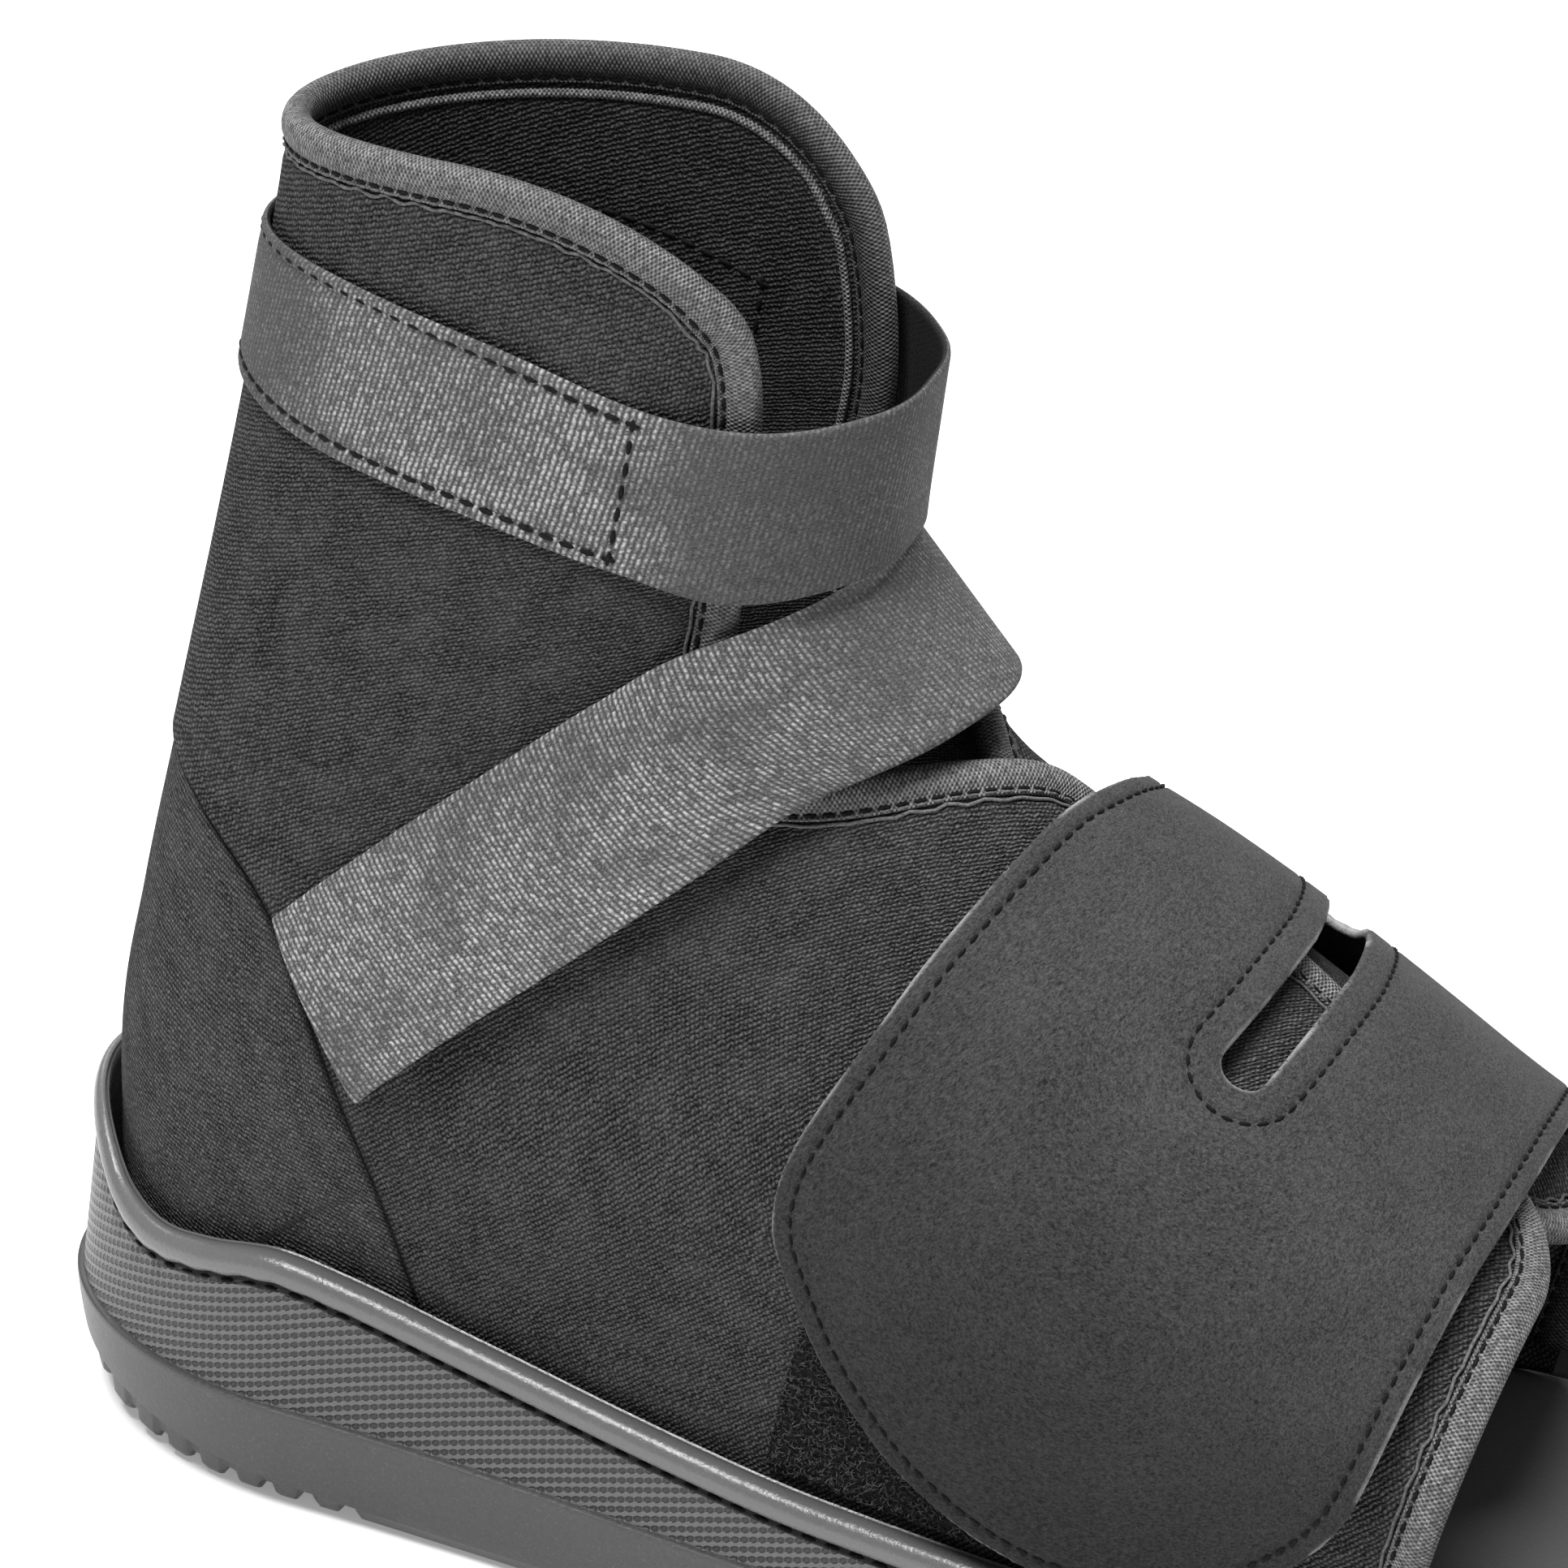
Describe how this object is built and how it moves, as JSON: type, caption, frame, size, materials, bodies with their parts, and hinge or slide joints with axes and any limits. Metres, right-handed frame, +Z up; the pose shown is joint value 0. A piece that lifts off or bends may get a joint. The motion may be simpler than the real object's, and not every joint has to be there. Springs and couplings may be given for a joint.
{
  "type": "cast boot",
  "caption": "High open-toed soft boot for a casted or bandaged foot: rubber cup sole, knitted upper with taped edges, webbing straps and a wide forefoot flap.",
  "frame": {"origin": "middle of the sole's underside, on the flat between the heel and forefoot treads", "axes": "+X to the toes, +Y to the wearer's left, +Z up"},
  "size_m": [0.3, 0.1112, 0.2355],
  "materials": {
    "sole_rubber": "satin, textured side band",
    "insole_foam": "smooth cloth over foam",
    "knit": "fine diagonal knit",
    "tape": "ribbed tape",
    "pile": "fuzzy loop pile",
    "webbing": "coarse woven webbing",
    "brushed_cloth": "brushed, raw cut edges"
  },
  "bodies": {
    "root": {"outsole": "sole_rubber", "insole": "insole_foam", "heel_counter": "knit", "quarter_right": "knit", "quarter_left": "knit", "edge_binding": "tape", "hook_patch": "pile", "collar_strap": "webbing", "ankle_strap": "webbing", "forefoot_flap": "brushed_cloth"}
  },
  "joints": []
}
